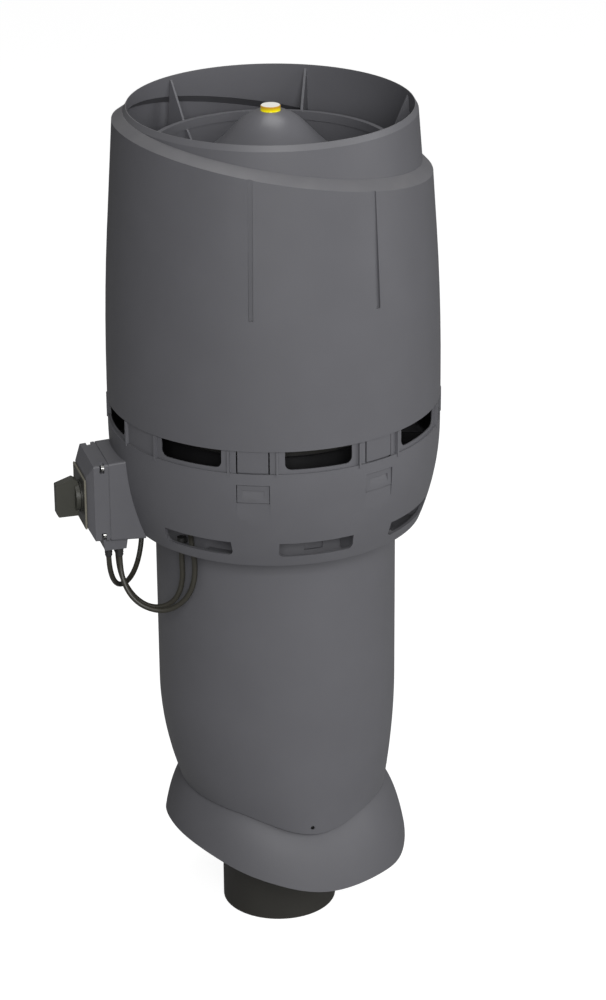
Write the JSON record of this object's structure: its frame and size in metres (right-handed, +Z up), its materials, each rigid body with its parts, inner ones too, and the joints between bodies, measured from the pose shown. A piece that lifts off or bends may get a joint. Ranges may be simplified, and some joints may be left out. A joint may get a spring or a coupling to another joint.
{
  "type": "roof exhaust fan",
  "caption": "Vertical roof exhaust fan: insulated roof pipe with flared foot collar, vented casing, slanted swing-back hood, open vaned outlet, hidden motor and wheel, and side isolator switch.",
  "frame": {"origin": "centre of the duct pipe's lower end", "axes": "+Z up along the duct pipe to the outlet, -Y front with the two latches, -X the switch side"},
  "size_m": [0.3634, 0.3187, 0.8053],
  "materials": {
    "grey_plastic": "satin",
    "black_plastic": "satin",
    "switch_plate_plastic": "satin",
    "knob_plastic": "satin",
    "mineral_wool": "matt",
    "gasket_rubber": "matt",
    "cable_jacket": "satin",
    "screw_steel": "satin",
    "motor_aluminium": "satin",
    "core_steel": "matt",
    "winding_copper": "satin",
    "vial_clear": "gloss",
    "vial_amber": "gloss"
  },
  "bodies": {
    "base": {"inner_pipe": "black_plastic", "outer_pipe": "grey_plastic", "insulation_sleeve": "mineral_wool", "pipe_top_ring": "black_plastic", "foot_collar": "grey_plastic", "foot_screws": "screw_steel", "lower_casing": "grey_plastic", "casing_screws": "screw_steel", "hinge_pins": "screw_steel", "nozzle_gasket": "gasket_rubber", "inlet_nozzle": "black_plastic", "nozzle_screws": "screw_steel", "switch_base": "grey_plastic", "switch_gasket": "gasket_rubber", "switch_cover": "grey_plastic", "cover_screws": "screw_steel", "switch_block": "black_plastic", "switch_plate": "switch_plate_plastic", "gland_block": "grey_plastic", "supply_grommet": "gasket_rubber", "floor_grommets": "gasket_rubber", "motor_cable": "cable_jacket", "supply_cable": "cable_jacket", "control_cable": "cable_jacket"},
    "hood": {"hood": "grey_plastic", "outlet_ring": "grey_plastic", "inner_casing": "black_plastic", "motor_cone": "grey_plastic", "vial_body": "vial_clear", "vial_fluid": "vial_amber", "motor_plate": "motor_aluminium", "motor_screws": "screw_steel", "stator_tube": "motor_aluminium", "stator_core": "core_steel", "stator_windings": "winding_copper", "bearings": "screw_steel"},
    "wheel": {"motor_shaft": "screw_steel", "rotor_cup": "motor_aluminium", "rotor_magnets": "core_steel", "fan_wheel": "black_plastic", "wheel_screws": "screw_steel", "shaft_circlip": "screw_steel"},
    "knob": {"switch_spindle": "screw_steel", "switch_knob": "knob_plastic"}
  },
  "joints": [
    {"name": "hood_hinge", "type": "hinge", "parent": "base", "child": "hood", "pos_m": [0, 0.158, 0.497], "axis": [-1, 0, 0], "range_deg": [0, 85]},
    {"name": "wheel_spin", "type": "hinge", "parent": "hood", "child": "wheel", "pos_m": [0, 0, 0.6], "axis": [0, 0, 1], "continuous": true},
    {"name": "knob_turn", "type": "hinge", "parent": "base", "child": "knob", "pos_m": [-0.195, -0.005, 0.451], "axis": [-1, 0, 0], "range_deg": [0, 90]}
  ]
}
